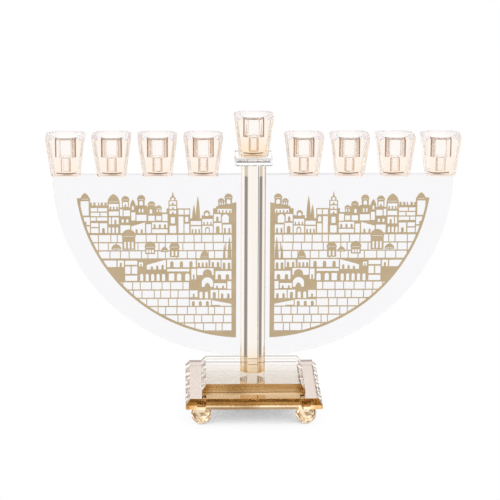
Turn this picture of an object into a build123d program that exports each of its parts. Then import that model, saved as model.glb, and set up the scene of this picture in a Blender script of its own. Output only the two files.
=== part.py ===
from build123d import *
from math import asin, cos, degrees, pi, radians, sin
import os

# Frame: +Z up, +X along the row of cups, +Y to the rear.
# The origin is on the table, under the middle of the base. All lengths are in millimetres.

# ---------------------------------------------------------------- driving dimensions
# cups
cup_pitch = 44.0  # spacing of the cups along each arm
first_cup_x = 48.4  # from the centre cup to the first cup of each arm
cup_top_width = 38.0
cup_bottom_width = 28.0
cup_height = 38.8
cup_edge_chamfer = 3.4  # along the four leaning edges
cup_corner_facet = 2.6  # where each leaning edge meets the top
cup_bottom_bevel = 1.0
mouth_radius = 14.6  # shallow dish around the recess
mouth_depth = 1.8
recess_radius = 10.0  # takes an oil glass
recess_depth = 19.6
socket_radius = 4.6  # takes a candle
socket_depth = 34.2
socket_lead_in = 0.8

# base
foot_diameter = 20.4
foot_height = 18.8
foot_inset = 15.4  # from the lower plate's edges to each foot's centre
lower_plate_size = 132.0
upper_plate_size = 100.0
plate_thickness = 9.6
plate_bevel_width = 4.2
plate_bevel_height = 5.6

# column and collar
column_width = 24.0  # across the flats
column_height = 209.5
collar_size = 36.4
collar_thickness = 8.2
collar_chamfer = 1.6

# arms
panel_top = 236.0  # height of the cups' seats
panel_radius = 181.2
panel_thickness = 8.0
panel_edge_chamfer = 0.4

# city plates
city_thickness = 1.2
city_radius = 163.5
city_arc_inset = 3.5  # from the arm's inner corner to the arc's centre, towards the axis
city_inner_x = 16.4
city_band_top = 209.0  # top of the upright band beside the column
city_rim = 2.2  # band left along the arc
wall_line = 0.9  # metal left between two openings
slot_height = 0.7

# ---------------------------------------------------------------- heights that follow
lower_plate_top = foot_height + plate_thickness
upper_plate_top = lower_plate_top + plate_thickness
column_top = upper_plate_top + column_height
collar_top = column_top + collar_thickness
column_face = column_width / 2


# ---------------------------------------------------------------- base
def bevelled_plate(name, size, bottom):
    """Square plate whose top edge is bevelled all round."""
    with BuildPart() as plate:
        with BuildSketch(Plane.XY.offset(bottom)):
            Rectangle(size, size)
        extrude(amount=plate_thickness)
        top_edges = plate.faces().sort_by(Axis.Z)[-1].edges()
        top_face = plate.faces().sort_by(Axis.Z)[-1]
        chamfer(top_edges, plate_bevel_width, plate_bevel_height, reference=top_face)
    plate.part.label = name
    return plate


lower_base_plate = bevelled_plate("lower_base_plate", lower_plate_size, foot_height)
upper_base_plate = bevelled_plate("upper_base_plate", upper_plate_size, lower_plate_top)


# ---------------------------------------------------------------- feet
foot_sides = 12
foot_rings = 8
foot_lowest_latitude = -75.0  # degrees; the flat below it stands on the table


def foot_ring(number):
    """Corner points of one ring of facets, counted from the bottom flat."""
    radius = foot_diameter / 2
    centre_height = -radius * sin(radians(foot_lowest_latitude))
    highest_latitude = degrees(asin((foot_height - centre_height) / radius))
    step = (highest_latitude - foot_lowest_latitude) / (foot_rings - 1)
    latitude = radians(foot_lowest_latitude + step * number)
    turn = 0.5 * number  # each ring is turned by half a facet
    points = []
    for side in range(foot_sides):
        angle = 2 * pi * (side + turn) / foot_sides
        ring_radius = radius * cos(latitude)
        height = centre_height + radius * sin(latitude)
        points.append(Vector(ring_radius * cos(angle), ring_radius * sin(angle), height))
    return points


def flat_face(*corners):
    """Plane face through the given corners."""
    return Face(Wire.make_polygon(corners, close=True))


def ball_foot(name, x, y):
    """Faceted crystal ball with a small flat below and a bonding flat on top."""
    rings = [foot_ring(number) for number in range(foot_rings)]
    facets = [flat_face(*rings[0]), flat_face(*rings[-1])]
    for lower, upper in zip(rings, rings[1:]):
        for side in range(foot_sides):
            after = (side + 1) % foot_sides
            facets.append(flat_face(lower[side], lower[after], upper[side]))
            facets.append(flat_face(upper[side], upper[after], lower[after]))
    ball = Solid(Shell(facets))
    with BuildPart() as foot:
        with Locations((x, y, 0)):
            add(ball)
    foot.part.label = name
    return foot


foot_offset = lower_plate_size / 2 - foot_inset
foot_front_left = ball_foot("foot_front_left", -foot_offset, -foot_offset)
foot_front_right = ball_foot("foot_front_right", foot_offset, -foot_offset)
foot_back_left = ball_foot("foot_back_left", -foot_offset, foot_offset)
foot_back_right = ball_foot("foot_back_right", foot_offset, foot_offset)

# ---------------------------------------------------------------- column
with BuildPart() as column:
    with BuildSketch(Plane.XY.offset(upper_plate_top)):
        RegularPolygon(column_face, side_count=8, major_radius=False, rotation=22.5)
    extrude(amount=column_height)
column.part.label = "column"

# ---------------------------------------------------------------- collar
with BuildPart() as shamash_collar:
    with BuildSketch(Plane.XY.offset(column_top)):
        Rectangle(collar_size, collar_size)
    extrude(amount=collar_thickness)
    chamfer(shamash_collar.faces().sort_by(Axis.Z)[-1].edges(), collar_chamfer)
    chamfer(shamash_collar.faces().sort_by(Axis.Z)[0].edges(), collar_chamfer)
shamash_collar.part.label = "shamash_collar"

# ---------------------------------------------------------------- arms
with BuildPart() as right_panel:
    with BuildSketch(Plane.XZ.offset(-panel_thickness / 2)):
        with BuildLine():
            corner = (column_face, panel_top)
            top_edge = Line(corner, (column_face + panel_radius, panel_top))
            RadiusArc(top_edge @ 1, (column_face, panel_top - panel_radius), panel_radius)
            Line((column_face, panel_top - panel_radius), corner)
        make_face()
    extrude(amount=panel_thickness)
    arc_edges = right_panel.edges().filter_by(GeomType.CIRCLE)
    chamfer(arc_edges, panel_edge_chamfer)
right_panel.part.label = "right_panel"

with BuildPart() as left_panel:
    mirror(right_panel.part, about=Plane.YZ)
left_panel.part.label = "left_panel"


# ---------------------------------------------------------------- city plates
# Drawn for the right arm: x is the distance from the column's axis, z the height.
def box(x0, x1, z0, z1, mode=Mode.ADD):
    """Rectangle between two distances and two heights."""
    with Locations(((x0 + x1) / 2, (z0 + z1) / 2)):
        Rectangle(x1 - x0, z1 - z0, mode=mode)


def arch(x, z, width, height, mode=Mode.ADD):
    """Round-headed shape standing on the level z, centred on x."""
    spring = max(height - width / 2, 0.0)
    with BuildLine() as outline:
        if spring > 0:
            Line((x - width / 2, z), (x - width / 2, z + spring))
        ThreePointArc((x - width / 2, z + spring), (x, z + height), (x + width / 2, z + spring))
        if spring > 0:
            Line((x + width / 2, z + spring), (x + width / 2, z))
        Line((x + width / 2, z), (x - width / 2, z))
    make_face(outline.edges(), mode=mode)


def spire(x, z, width, height, mode=Mode.ADD):
    """Pointed shape, used for cypresses, pointed domes and steep roofs."""
    with BuildLine() as outline:
        left = TangentArc((x - width / 2, z), (x, z + height), tangent=(0, 1))
        TangentArc((x + width / 2, z), left @ 1, tangent=(0, 1))
        Line((x + width / 2, z), (x - width / 2, z))
    make_face(outline.edges(), mode=mode)


def pitched(x0, x1, z, z0_top, z1_top, mode=Mode.ADD):
    """Shape with a flat floor and one straight sloping top."""
    with BuildLine() as outline:
        Polyline((x0, z), (x1, z), (x1, z1_top), (x0, z0_top), close=True)
    make_face(outline.edges(), mode=mode)


def domed_turret(x, z, width, drum, dome):
    """Drum with a dome on top of it."""
    box(x - width / 2, x + width / 2, z, z + drum)
    arch(x, z + drum, width + wall_line, dome)


def ring_slot(x, z, width):
    """Slot that sets a dome apart from the walls under it."""
    box(x - width / 2, x + width / 2, z, z + slot_height)


# turrets whose domes have a ring slot: centre, floor, width, drum height, dome height
turrets = (
    (24, 206, 7, 7, 4.6),
    (31, 205, 5.6, 4.6, 3.4),
    (91.5, 198, 5.4, 4.6, 3.4),
    (98.4, 203, 6.4, 3.2, 4),
    (108.4, 205, 6.8, 6.4, 5),
    (123.6, 203, 6.8, 8, 4.4),
)


def skyline():
    """Everything that rises above the upper wall, from the column outwards."""
    box(city_inner_x, 39, 178, 203)
    pitched(city_inner_x, 36, 203, city_band_top, 205)
    for turret in turrets:
        domed_turret(*turret)
    box(39, 50, 178, 196)
    domed_turret(45, 195, 5.4, 2.4, 3.6)
    box(48, 62, 178, 193)
    spire(53.6, 192, 4.2, 24)
    spire(57.4, 192, 3.6, 15)
    box(61, 74, 178, 203)
    box(73.5, 82, 178, 211)
    pitched(71.5, 84, 198, 203, 203)
    domed_turret(77.8, 210, 5, 2.4, 2.6)
    spire(77.8, 213, 2, 7)
    box(82, 95, 178, 199)
    box(94, 104, 178, 205)
    box(103, 119, 178, 206)
    spire(116.4, 205, 5.4, 7)
    box(118, 130, 178, 204)
    box(129, 141, 178, 209)
    spire(135, 209, 11.6, 8.4)
    box(140, 160, 178, 206)
    for merlon in range(5):
        box(141.6 + 3.6 * merlon, 143.8 + 3.6 * merlon, 205, 209)
    box(158, 168.4, 178, 212)
    spire(162.6, 211.6, 8.8, 7)


def wall_with_windows(x0, x1, z0, z1, count, width, height):
    """Open wall with solid round-headed windows standing on its floor."""
    box(x0, x1, z0, z1)
    spacing = (x1 - x0) / count
    for window in range(count):
        arch(x0 + spacing * (window + 0.5), z0, width, height, mode=Mode.SUBTRACT)


def open_arches(x0, x1, z, count, width, height):
    """Row of openings cut through a solid wall."""
    spacing = (x1 - x0) / count
    for opening in range(count):
        arch(x0 + spacing * (opening + 0.5), z, width, height)


stone_widths = (11, 7.4, 9.6, 6.2, 12, 8.4, 10.2)


def stone_course(x0, x1, z0, z1, first_stone):
    """Course of stones, each one an opening with a thin line of metal around it."""
    x = x0
    stone = first_stone
    while x < x1 - wall_line:
        end = min(x + stone_widths[stone % len(stone_widths)], x1)
        if x1 - end < 4:
            end = x1
        box(x + wall_line / 2, end - wall_line / 2, z0 + wall_line / 2, z1 - wall_line / 2)
        x = end
        stone = stone + 1


def upper_city():
    """Openings between the skyline and the first course of stones."""
    for x, z, width, drum, dome in turrets:
        ring_slot(x, z + drum + 0.3, width - 1.6)
    ring_slot(135, 209.4, 8.8)
    ring_slot(162.6, 212.2, 6)
    # house by the column
    arch(24, 207.4, 3.6, 4.8)
    arch(29.9, 206.6, 1.2, 2.4)
    arch(32.1, 206.6, 1.2, 2.4)
    wall_with_windows(21, 34.6, 198.6, 202.6, 4, 1.4, 2.6)
    arch(27, 188.6, 6.6, 8.6)
    wall_with_windows(31.4, 38.2, 190, 197.4, 1, 2.4, 4.8)
    wall_with_windows(21, 29.6, 178.4, 187, 2, 1.8, 5)
    wall_with_windows(30.6, 38.2, 178.4, 188.6, 1, 3.4, 6.8)
    # low houses and the square behind the cypresses
    arch(45, 195.4, 3.4, 3.6)
    wall_with_windows(39.2, 49.4, 186.8, 192.6, 3, 1.3, 2.8)
    wall_with_windows(39.2, 49.4, 178.4, 185.8, 1, 4.6, 6)
    arch(44.3, 178.4, 2.8, 4.8)
    box(50.6, 60.6, 186.4, 190.6)
    wall_with_windows(50.6, 60.6, 178.4, 185.4, 3, 1.5, 4)
    # wall beside the tower
    box(62, 66.4, 196.8, 202)
    box(67.4, 72.4, 196.8, 202)
    arch(64.4, 189.6, 3.2, 5.4)
    box(67.6, 72.4, 178.4, 195.2)
    box(62, 66.6, 178.4, 188)
    # tower, tier by tier
    for tier in range(3):
        wall_with_windows(74.6, 81, 197.6 + 4.6 * tier, 201.2 + 4.6 * tier, 1, 1.8, 1.9)
    arch(77.8, 211, 2.6, 3)
    box(75.8, 79.8, 188, 194.6)
    box(74.6, 81, 178.4, 186)
    # stepped houses
    box(83, 88, 190.4, 197.6)
    arch(90.2, 199.4, 1.2, 3)
    arch(92.8, 199.4, 1.2, 3)
    box(89, 94, 191, 195.8)
    wall_with_windows(83, 98, 183.4, 189.4, 3, 2, 3.8)
    box(83, 98, 178.4, 182.4)
    arch(99, 198, 2.4, 4.4)
    box(95.4, 101.6, 190.6, 196)
    box(99, 103.6, 178.4, 187.6)
    # house with the tall dome
    arch(108.4, 206.2, 3.4, 4.6)
    arch(107, 199, 1.5, 4)
    arch(110, 199, 1.5, 4)
    box(103.4, 113, 190.6, 197)
    arch(116.4, 201.6, 1.8, 4.2)
    box(114, 118, 191, 199.4)
    pitched(104.8, 118, 178.4, 189.4, 185.4)
    arch(108, 178.4, 2, 4, mode=Mode.SUBTRACT)
    arch(113, 178.4, 2, 4, mode=Mode.SUBTRACT)
    # houses under the round domes
    wall_with_windows(121.2, 126, 204.6, 209.6, 1, 1.6, 2.6)
    box(119.2, 125.4, 195.4, 201.4)
    box(126.4, 129, 195.4, 202.4)
    open_arches(119.6, 128.6, 189, 2, 2.2, 3.6)
    box(119.2, 128.6, 178.4, 186.6)
    wall_with_windows(130.2, 139.6, 202, 207.8, 3, 1.6, 3)
    box(130.2, 139.6, 195.8, 200.4)
    wall_with_windows(130.2, 136.6, 187.4, 194.4, 1, 2, 4.6)
    box(137.6, 139.6, 187.4, 194.4)
    open_arches(130, 141, 178.6, 3, 2.2, 6)
    # crenellated wall
    for course in range(3):
        stone_course(140.8, 157.6, 190.4 + 4.6 * course, 195 + 4.6 * course, course)
    wall_with_windows(141.4, 148.6, 178.6, 188.6, 1, 2.6, 5)
    box(149.8, 157, 184.6, 188.8)
    box(149.8, 157, 178.6, 183.6)
    # corner tower
    box(159, 166.8, 196, 210.6)
    wall_with_windows(158, 166.4, 186.6, 194.6, 1, 1.8, 3.4)
    box(158, 166, 178.6, 185.4)


def domed_house(x, z, width, wall, dome, windows):
    """House with round-headed windows under a dome, standing before the stones."""
    left = x - width / 2
    right = x + width / 2
    box(left, right, z, z + wall, mode=Mode.SUBTRACT)
    arch(x, z + wall, width + wall_line, dome, mode=Mode.SUBTRACT)
    ring_slot(x, z + wall, width - 2 * wall_line)
    open_arches(left + wall_line, right - wall_line, z + wall_line, windows, 1.8, 0.55 * wall)


def upper_courses():
    """Three courses of stones with domed houses and cypresses rising in front of them."""
    for course in range(3):
        bottom = 152.6 + 8.2 * course
        stone_course(20.4, 168, bottom, bottom + 8.2, 2 * course + 1)
    # great dome on its tall house, with a low dome beside it
    domed_house(120.6, 162, 12.6, 13, 7, 3)
    arch(132.8, 162.2, 9.4, 5, mode=Mode.SUBTRACT)
    ring_slot(132.8, 163, 6.6)
    # middle domes
    domed_house(100, 157.6, 9.6, 6.4, 6, 3)
    spire(86, 159.6, 7.4, 5.2, mode=Mode.SUBTRACT)
    ring_slot(86, 160.4, 5)
    domed_house(76.4, 154.4, 9, 9.6, 5.2, 2)
    # pointed dome near the column
    spire(47.2, 153, 8.6, 9, mode=Mode.SUBTRACT)
    ring_slot(47.2, 154, 6.2)
    # cypresses
    spire(23, 152, 3.8, 23, mode=Mode.SUBTRACT)
    spire(28, 152, 2.6, 15.6, mode=Mode.SUBTRACT)


def lower_city():
    """Row of houses and arcades below the upper courses."""
    wall_with_windows(21, 30.6, 142, 151.6, 2, 2.6, 6.6)
    wall_with_windows(31.6, 41.6, 144, 151.6, 2, 2.4, 5.2)
    wall_with_windows(43.4, 54.6, 144.4, 151.6, 3, 2, 4.4)
    wall_with_windows(55.8, 83.6, 144, 152, 3, 3.2, 6)
    pitched(84.8, 103.4, 141.8, 152, 146.6)
    for window in range(3):
        arch(88 + 5.2 * window, 141.8, 2.2, 4.8 - 0.8 * window, mode=Mode.SUBTRACT)
    wall_with_windows(107, 111, 145, 149.4, 1, 1.2, 2.6)
    box(112.6, 124.4, 146.6, 151)
    box(112.6, 118, 137.4, 145.2)
    box(119.2, 124.4, 137.4, 145.2)
    wall_with_windows(125.6, 131.6, 144.4, 151.2, 1, 2, 4.4)
    box(132.8, 145, 144.4, 151.2)
    # wall with open arches
    box(62, 83.6, 139.8, 142.6)
    open_arches(84.4, 111, 130.2, 5, 3, 7.4)
    box(76.6, 82, 130.4, 138)
    open_arches(60, 76, 130.4, 2, 4.2, 7.6)
    box(112.6, 124.4, 130.4, 136)
    # domed gate near the column
    wall_with_windows(55.4, 60, 131.6, 142.6, 1, 1.6, 5)
    box(38.4, 54.4, 136, 143.1)
    arch(44.4, 136, 9, 5.8, mode=Mode.SUBTRACT)
    arch(44.4, 124, 11, 10)
    spire(44.4, 124, 5.6, 4.4, mode=Mode.SUBTRACT)
    wall_with_windows(21, 36.6, 131.6, 140.4, 2, 3.4, 5.2)
    box(21, 25, 122, 130)
    wall_with_windows(26.2, 38, 122.6, 128, 2, 1.8, 2.8)


def lower_courses():
    """Courses of stones down to the bottom of the arc, and the houses standing before them."""
    for course in range(6):
        bottom = 79.2 + 8.4 * course
        inner = 20.4 if course < 3 else 62.0
        stone_course(inner, 140, bottom, bottom + 8.4, 3 * course + 2)
    wall_with_windows(54, 61.6, 113.6, 120.8, 1, 1.8, 3.6)
    open_arches(42.6, 53.4, 112.4, 2, 3, 7)
    wall_with_windows(34, 41.4, 112.4, 121.2, 1, 3, 6.4)
    wall_with_windows(21, 33, 112.4, 121.2, 2, 2.4, 5)
    wall_with_windows(41, 61.6, 104.8, 111.4, 3, 2.8, 4.8)
    pitched(21, 40, 104.8, 107, 110.8)
    box(32, 40, 104.8, 105.6, mode=Mode.SUBTRACT)


city_plane = Plane.XZ.offset(panel_thickness / 2)
arc_centre = (column_face - city_arc_inset, panel_top)

with BuildSketch(city_plane) as city_outline:
    skyline()
    box(city_inner_x, 168, 70, 180)
    box(150, 172, 178, 213.4)
    box(150, 157.6, 206, 214, mode=Mode.SUBTRACT)
    for merlon in range(2):
        box(152.4 + 3.6 * merlon, 154.6 + 3.6 * merlon, 205, 209)
    with Locations(arc_centre):
        Circle(city_radius, mode=Mode.INTERSECT)

with BuildSketch(city_plane) as city_openings:
    upper_city()
    upper_courses()
    lower_city()
    lower_courses()
    with Locations(arc_centre):
        Circle(city_radius - city_rim, mode=Mode.INTERSECT)

with BuildPart() as right_city_plate:
    with BuildSketch(city_plane):
        add(city_outline.sketch)
        add(city_openings.sketch, mode=Mode.SUBTRACT)
    extrude(amount=city_thickness)
right_city_plate.part.label = "right_city_plate"

with BuildPart() as left_city_plate:
    mirror(right_city_plate.part, about=Plane.YZ)
left_city_plate.part.label = "left_city_plate"


# ---------------------------------------------------------------- candle cups
def candle_cup(name, x, bottom):
    """Square tapered cup with a dished mouth, an oil-glass recess and a candle socket."""
    top = bottom + cup_height
    with BuildPart() as cup:
        with BuildSketch(Plane.XY.offset(bottom)) as foot_print:
            with Locations((x, 0)):
                Rectangle(cup_bottom_width, cup_bottom_width)
            chamfer(foot_print.vertices(), cup_edge_chamfer)
        with BuildSketch(Plane.XY.offset(top)) as rim:
            with Locations((x, 0)):
                Rectangle(cup_top_width, cup_top_width)
            chamfer(rim.vertices(), cup_edge_chamfer)
        loft(ruled=True)
        corner_edges = cup.faces().sort_by(Axis.Z)[-1].edges().sort_by(SortBy.LENGTH)[:4]
        chamfer(corner_edges, cup_corner_facet)
        chamfer(cup.faces().sort_by(Axis.Z)[0].edges(), cup_bottom_bevel)
        with BuildSketch(Plane.XZ):
            with BuildLine():
                Polyline(
                    (x, top),
                    (x + mouth_radius, top),
                    (x + recess_radius, top - mouth_depth),
                    (x + recess_radius, top - recess_depth),
                    (x + socket_radius + socket_lead_in, top - recess_depth),
                    (x + socket_radius, top - recess_depth - socket_lead_in),
                    (x + socket_radius, top - socket_depth),
                    (x, top - socket_depth),
                    close=True,
                )
            make_face()
        revolve(axis=Axis((x, 0, 0), (0, 0, 1)), mode=Mode.SUBTRACT)
    cup.part.label = name
    return cup


shamash_cup = candle_cup("shamash_cup", 0.0, collar_top)
arm_cups = []
for number in range(4):
    distance = first_cup_x + cup_pitch * number
    arm_cups.append(candle_cup(f"right_cup_{number + 1}", distance, panel_top))
    arm_cups.append(candle_cup(f"left_cup_{number + 1}", -distance, panel_top))

# ---------------------------------------------------------------- export
pieces = [
    lower_base_plate,
    upper_base_plate,
    foot_front_left,
    foot_front_right,
    foot_back_left,
    foot_back_right,
    column,
    shamash_collar,
    left_panel,
    right_panel,
    left_city_plate,
    right_city_plate,
    shamash_cup,
]
os.makedirs("parts", exist_ok=True)
for piece in pieces + arm_cups:
    export_step(piece.part, f"parts/{piece.part.label}.step")
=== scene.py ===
import bmesh
import bpy
from math import asin, cos, pi, radians, sin, sqrt
from mathutils import Matrix, Vector


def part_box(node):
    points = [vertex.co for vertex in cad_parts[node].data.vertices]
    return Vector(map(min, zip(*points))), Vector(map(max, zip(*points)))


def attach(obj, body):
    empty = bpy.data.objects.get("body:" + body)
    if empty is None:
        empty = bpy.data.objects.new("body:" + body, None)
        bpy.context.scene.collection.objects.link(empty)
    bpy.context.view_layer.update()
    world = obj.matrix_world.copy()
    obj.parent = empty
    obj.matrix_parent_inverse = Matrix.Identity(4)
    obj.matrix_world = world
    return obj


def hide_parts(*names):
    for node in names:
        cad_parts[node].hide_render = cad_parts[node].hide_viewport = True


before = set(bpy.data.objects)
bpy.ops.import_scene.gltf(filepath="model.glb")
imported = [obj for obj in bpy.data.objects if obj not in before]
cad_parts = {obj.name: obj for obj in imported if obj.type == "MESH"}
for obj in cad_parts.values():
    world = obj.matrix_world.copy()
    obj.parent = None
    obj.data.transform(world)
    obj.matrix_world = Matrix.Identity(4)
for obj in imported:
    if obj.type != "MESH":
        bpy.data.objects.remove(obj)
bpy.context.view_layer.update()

# ------------------------------------------------------------------ shared sizes, in metres
MM = 0.001
BOND_GAP = 0.02 * MM  # bonded faces stand this far apart, so that they never coincide
CURVE_STEPS = 96  # segments in a full turn of a bore
ARC_STEPS = 120  # segments in a quarter turn of a panel

LONGEST_PATH = 0.25  # no straight path inside a piece is longer; longer ones began outside

POLISHED = 0  # material slots that every crystal piece has
BONDED = 1

# places in the frame that the materials refer to
COLUMN_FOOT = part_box("column")[0].z
STRIP_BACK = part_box("upper_base_plate")[0].y  # back of the lower plate's front strip
JOINT_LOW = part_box("right_panel")[0].z  # the column is glued to the panels between these heights
JOINT_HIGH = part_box("right_panel")[1].z

# ------------------------------------------------------------------ colours
WHITE = (1.0, 1.0, 1.0)
BLACK = (0.0, 0.0, 0.0)

# glass: what a depth of TINT_DEPTH lets through
TINT_DEPTH = 0.040
CUP_TINT = (0.975, 0.87, 0.78)
COLUMN_TINT = (0.97, 0.91, 0.85)
BASE_TINT = (0.97, 0.94, 0.90)
FOOT_TINT = (0.97, 0.90, 0.80)
CLEAR_TINT = (0.985, 0.985, 0.992)

# cups
BORE_LINE = (0.40, 0.24, 0.12)  # painted shade: brown lines where light grazes the bore walls from inside
BAR = (0.24, 0.18, 0.115)  # painted shade: a dark bar low on the far wall, standing in for the rear bevel seen through the cup
BAR_SAG = 0.25  # how strongly the bar curves down in the middle
# DISH_LINE is painted shade: it darkens light that meets the dish from inside, drawing dark lines at
# the mouth
DISH_LINE = (0.55, 0.46, 0.38)
PINK = (0.97, 0.92, 0.94)
ARM_CUP_FOOT = (1.0, 0.94, 0.88)
CENTRE_CUP_FOOT = (1.0, 0.86, 0.66)

# column
GREY_STRIP = (0.30, 0.29, 0.27)  # painted shade strips beside the panels
WARM_STRIP = (0.70, 0.62, 0.54)  # painted strips above and below the panels
COLUMN_PALE = (0.95, 0.93, 0.91)
# painted light: warm glows that the base throws into the foot of the column
FOOT_GLOW = (0.95, 0.79, 0.57)
CORNER_GLOW = (0.92, 0.78, 0.56)
FLAT_GLOW = (1.03, 0.97, 0.85)
FOOT_GLOW_REACH = 34 * MM
CORNER_GLOW_REACH = 7 * MM
FLAT_GLOW_REACH = 4 * MM

# base: painted light and shade; the bevels and the upper sides are painted amber to brown, the lower
# sides brighter, the tops darker (the upper one towards the front, the lower one with a tan strip in
# front), and the side bevels carry painted stripes
UPPER_BEVEL = (0.565, 0.375, 0.165)
UPPER_SIDE = (0.74, 0.56, 0.35)
UPPER_TOP_FRONT = (0.79, 0.745, 0.70)
LOWER_BEVEL = (0.55, 0.34, 0.12)
LOWER_SIDE = (1.38, 1.25, 1.0)
LOWER_TOP = (0.78, 0.70, 0.65)
LOWER_TOP_STRIP = (0.73, 0.55, 0.35)
STRIPE_SLANT = 2.2
STRIPE_SPACING = 13 * MM


# ------------------------------------------------------------------ node helpers
def new_material(name):
    """Empty node material and its tree."""
    material = bpy.data.materials.new(name)
    material.use_nodes = True
    material.node_tree.nodes.clear()
    return material, material.node_tree


def node(tree, kind, **settings):
    """Adds a shader node; settings whose names are inputs set those inputs."""
    made = tree.nodes.new(kind)
    for key, value in settings.items():
        label = key.replace("_", " ")
        if hasattr(made, key):
            setattr(made, key, value)
        else:
            made.inputs[label].default_value = value
    return made


def link(tree, source, target):
    """Joins an output socket to an input socket."""
    tree.links.new(source, target)


# ------------------------------------------------------------------ materials
def tint_by_path(tree, tint, tint_depth):
    """Colour that deepens with the length of the ray's path inside the piece."""
    geometry = node(tree, "ShaderNodeNewGeometry")
    path = node(tree, "ShaderNodeLightPath")
    inside = node(tree, "ShaderNodeMath", operation="MULTIPLY")
    link(tree, path.outputs["Ray Length"], inside.inputs[0])
    link(tree, geometry.outputs["Backfacing"], inside.inputs[1])
    short = node(tree, "ShaderNodeMath", operation="LESS_THAN")
    link(tree, path.outputs["Ray Length"], short.inputs[0])
    short.inputs[1].default_value = LONGEST_PATH
    counted = node(tree, "ShaderNodeMath", operation="MULTIPLY")
    link(tree, inside.outputs[0], counted.inputs[0])
    link(tree, short.outputs[0], counted.inputs[1])
    depths = node(tree, "ShaderNodeMath", operation="DIVIDE")
    link(tree, counted.outputs[0], depths.inputs[0])
    depths.inputs[1].default_value = tint_depth
    colour = node(tree, "ShaderNodeCombineColor")
    for channel, strength in zip(("Red", "Green", "Blue"), tint):
        power = node(tree, "ShaderNodeMath", operation="POWER")
        power.inputs[0].default_value = strength
        link(tree, depths.outputs[0], power.inputs[1])
        link(tree, power.outputs[0], colour.inputs[channel])
    return colour.outputs[0]


def polish_ripple(tree, scale, height):
    """Bump left by hand polishing, far too shallow to see except in the reflections."""
    where = node(tree, "ShaderNodeNewGeometry")
    noise = node(tree, "ShaderNodeTexNoise", Scale=scale, Detail=2.0)
    link(tree, where.outputs["Position"], noise.inputs["Vector"])
    bump = node(tree, "ShaderNodeBump", Strength=1.0, Distance=height)
    link(tree, noise.outputs["Fac"], bump.inputs["Height"])
    return bump.outputs["Normal"]


def place(tree, kind="world"):
    """The place being shaded, as X, Y and Z: in the world, or from 0 to 1 within the piece."""
    if kind == "world":
        source = node(tree, "ShaderNodeNewGeometry").outputs["Position"]
    else:
        source = node(tree, "ShaderNodeTexCoord").outputs["Generated"]
    split = node(tree, "ShaderNodeSeparateXYZ")
    link(tree, source, split.inputs[0])
    return split.outputs


def speckles(tree, scale, detail):
    """Noise that varies from place to place."""
    where = node(tree, "ShaderNodeNewGeometry")
    noise = node(tree, "ShaderNodeTexNoise", Scale=scale, Detail=detail)
    link(tree, where.outputs["Position"], noise.inputs["Vector"])
    return noise.outputs["Fac"]


def facing(tree):
    """0 where the surface is met squarely, 1 where it is grazed."""
    return node(tree, "ShaderNodeLayerWeight", Blend=0.5).outputs["Facing"]


def from_inside(tree):
    """1 where the surface is met from inside the piece."""
    return node(tree, "ShaderNodeNewGeometry").outputs["Backfacing"]


def size_of(tree, value):
    """Value without its sign."""
    positive = node(tree, "ShaderNodeMath", operation="ABSOLUTE")
    link(tree, value, positive.inputs[0])
    return positive.outputs[0]


def mix_colour(tree, factor, first, second):
    """Blends two colours; factor, first and second are sockets or plain values."""
    blend = node(tree, "ShaderNodeMix", data_type="RGBA")
    for label, value in (("Factor", factor), ("A", first), ("B", second)):
        socket = next(item for item in blend.inputs if item.name == label and item.enabled)
        if isinstance(value, tuple):
            socket.default_value = (*value, 1.0)
        elif isinstance(value, float):
            socket.default_value = value
        else:
            link(tree, value, socket)
    return blend.outputs["Result"]


def times(tree, first, second):
    """Product of two colour sockets, or of two values that blend colours."""
    product = node(tree, "ShaderNodeVectorMath", operation="MULTIPLY")
    link(tree, first, product.inputs[0])
    link(tree, second, product.inputs[1])
    return product.outputs[0]


def map_range(tree, value, low, high, start, end):
    """Smooth step of a value from one range to another."""
    ramp = node(tree, "ShaderNodeMapRange", interpolation_type="SMOOTHSTEP")
    ramp.inputs["From Min"].default_value = low
    ramp.inputs["From Max"].default_value = high
    ramp.inputs["To Min"].default_value = start
    ramp.inputs["To Max"].default_value = end
    link(tree, value, ramp.inputs["Value"])
    return ramp.outputs[0]


def glass_colour(tree, tint, skin, lining, glancing, shade):
    """Path tint of the glass times the tints of the face that the light meets."""
    grazed = facing(tree)
    outside = mix_colour(tree, map_range(tree, grazed, 0.45, 0.75, 0.0, 1.0), skin, WHITE)
    inside = mix_colour(tree, map_range(tree, grazed, 0.40, 0.70, 0.0, 1.0), lining, glancing)
    sided = mix_colour(tree, from_inside(tree), outside, inside)
    colour = times(tree, tint_by_path(tree, tint, TINT_DEPTH), sided)
    if shade is not None:
        colour = times(tree, colour, shade(tree))
    return colour


def covered(tree, surface, colour, cover):
    """Lays another surface over a shader where cover says so."""
    if cover is None:
        return surface
    amount, layer = cover(tree, colour)
    both = node(tree, "ShaderNodeMixShader")
    link(tree, amount, both.inputs[0])
    link(tree, surface, both.inputs[1])
    link(tree, layer, both.inputs[2])
    return both.outputs[0]


def from_outside(tree, tone):
    """Keeps a tint for light that enters the piece and drops it for light inside."""
    return mix_colour(tree, from_inside(tree), tone, WHITE)


def crystal(name, tint, skin=WHITE, lining=WHITE, glancing=WHITE, shade=None, cover=None):
    """Solid glass whose colour comes from the depth of glass that the light crosses.

    skin tints the light that enters squarely, lining the light that meets the face from inside,
    and glancing the light that grazes it from inside. shade adds a tint that depends on the place.
    cover lays another surface over the glass and says where.
    """
    material, tree = new_material(name)
    colour = glass_colour(tree, tint, skin, lining, glancing, shade)
    glass = node(tree, "ShaderNodeBsdfGlass", IOR=1.51, Roughness=0.0)
    link(tree, colour, glass.inputs["Color"])
    link(tree, polish_ripple(tree, 40.0, 0.004 * MM), glass.inputs["Normal"])
    output = node(tree, "ShaderNodeOutputMaterial")
    link(tree, covered(tree, glass.outputs[0], colour, cover), output.inputs["Surface"])
    return material


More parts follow.
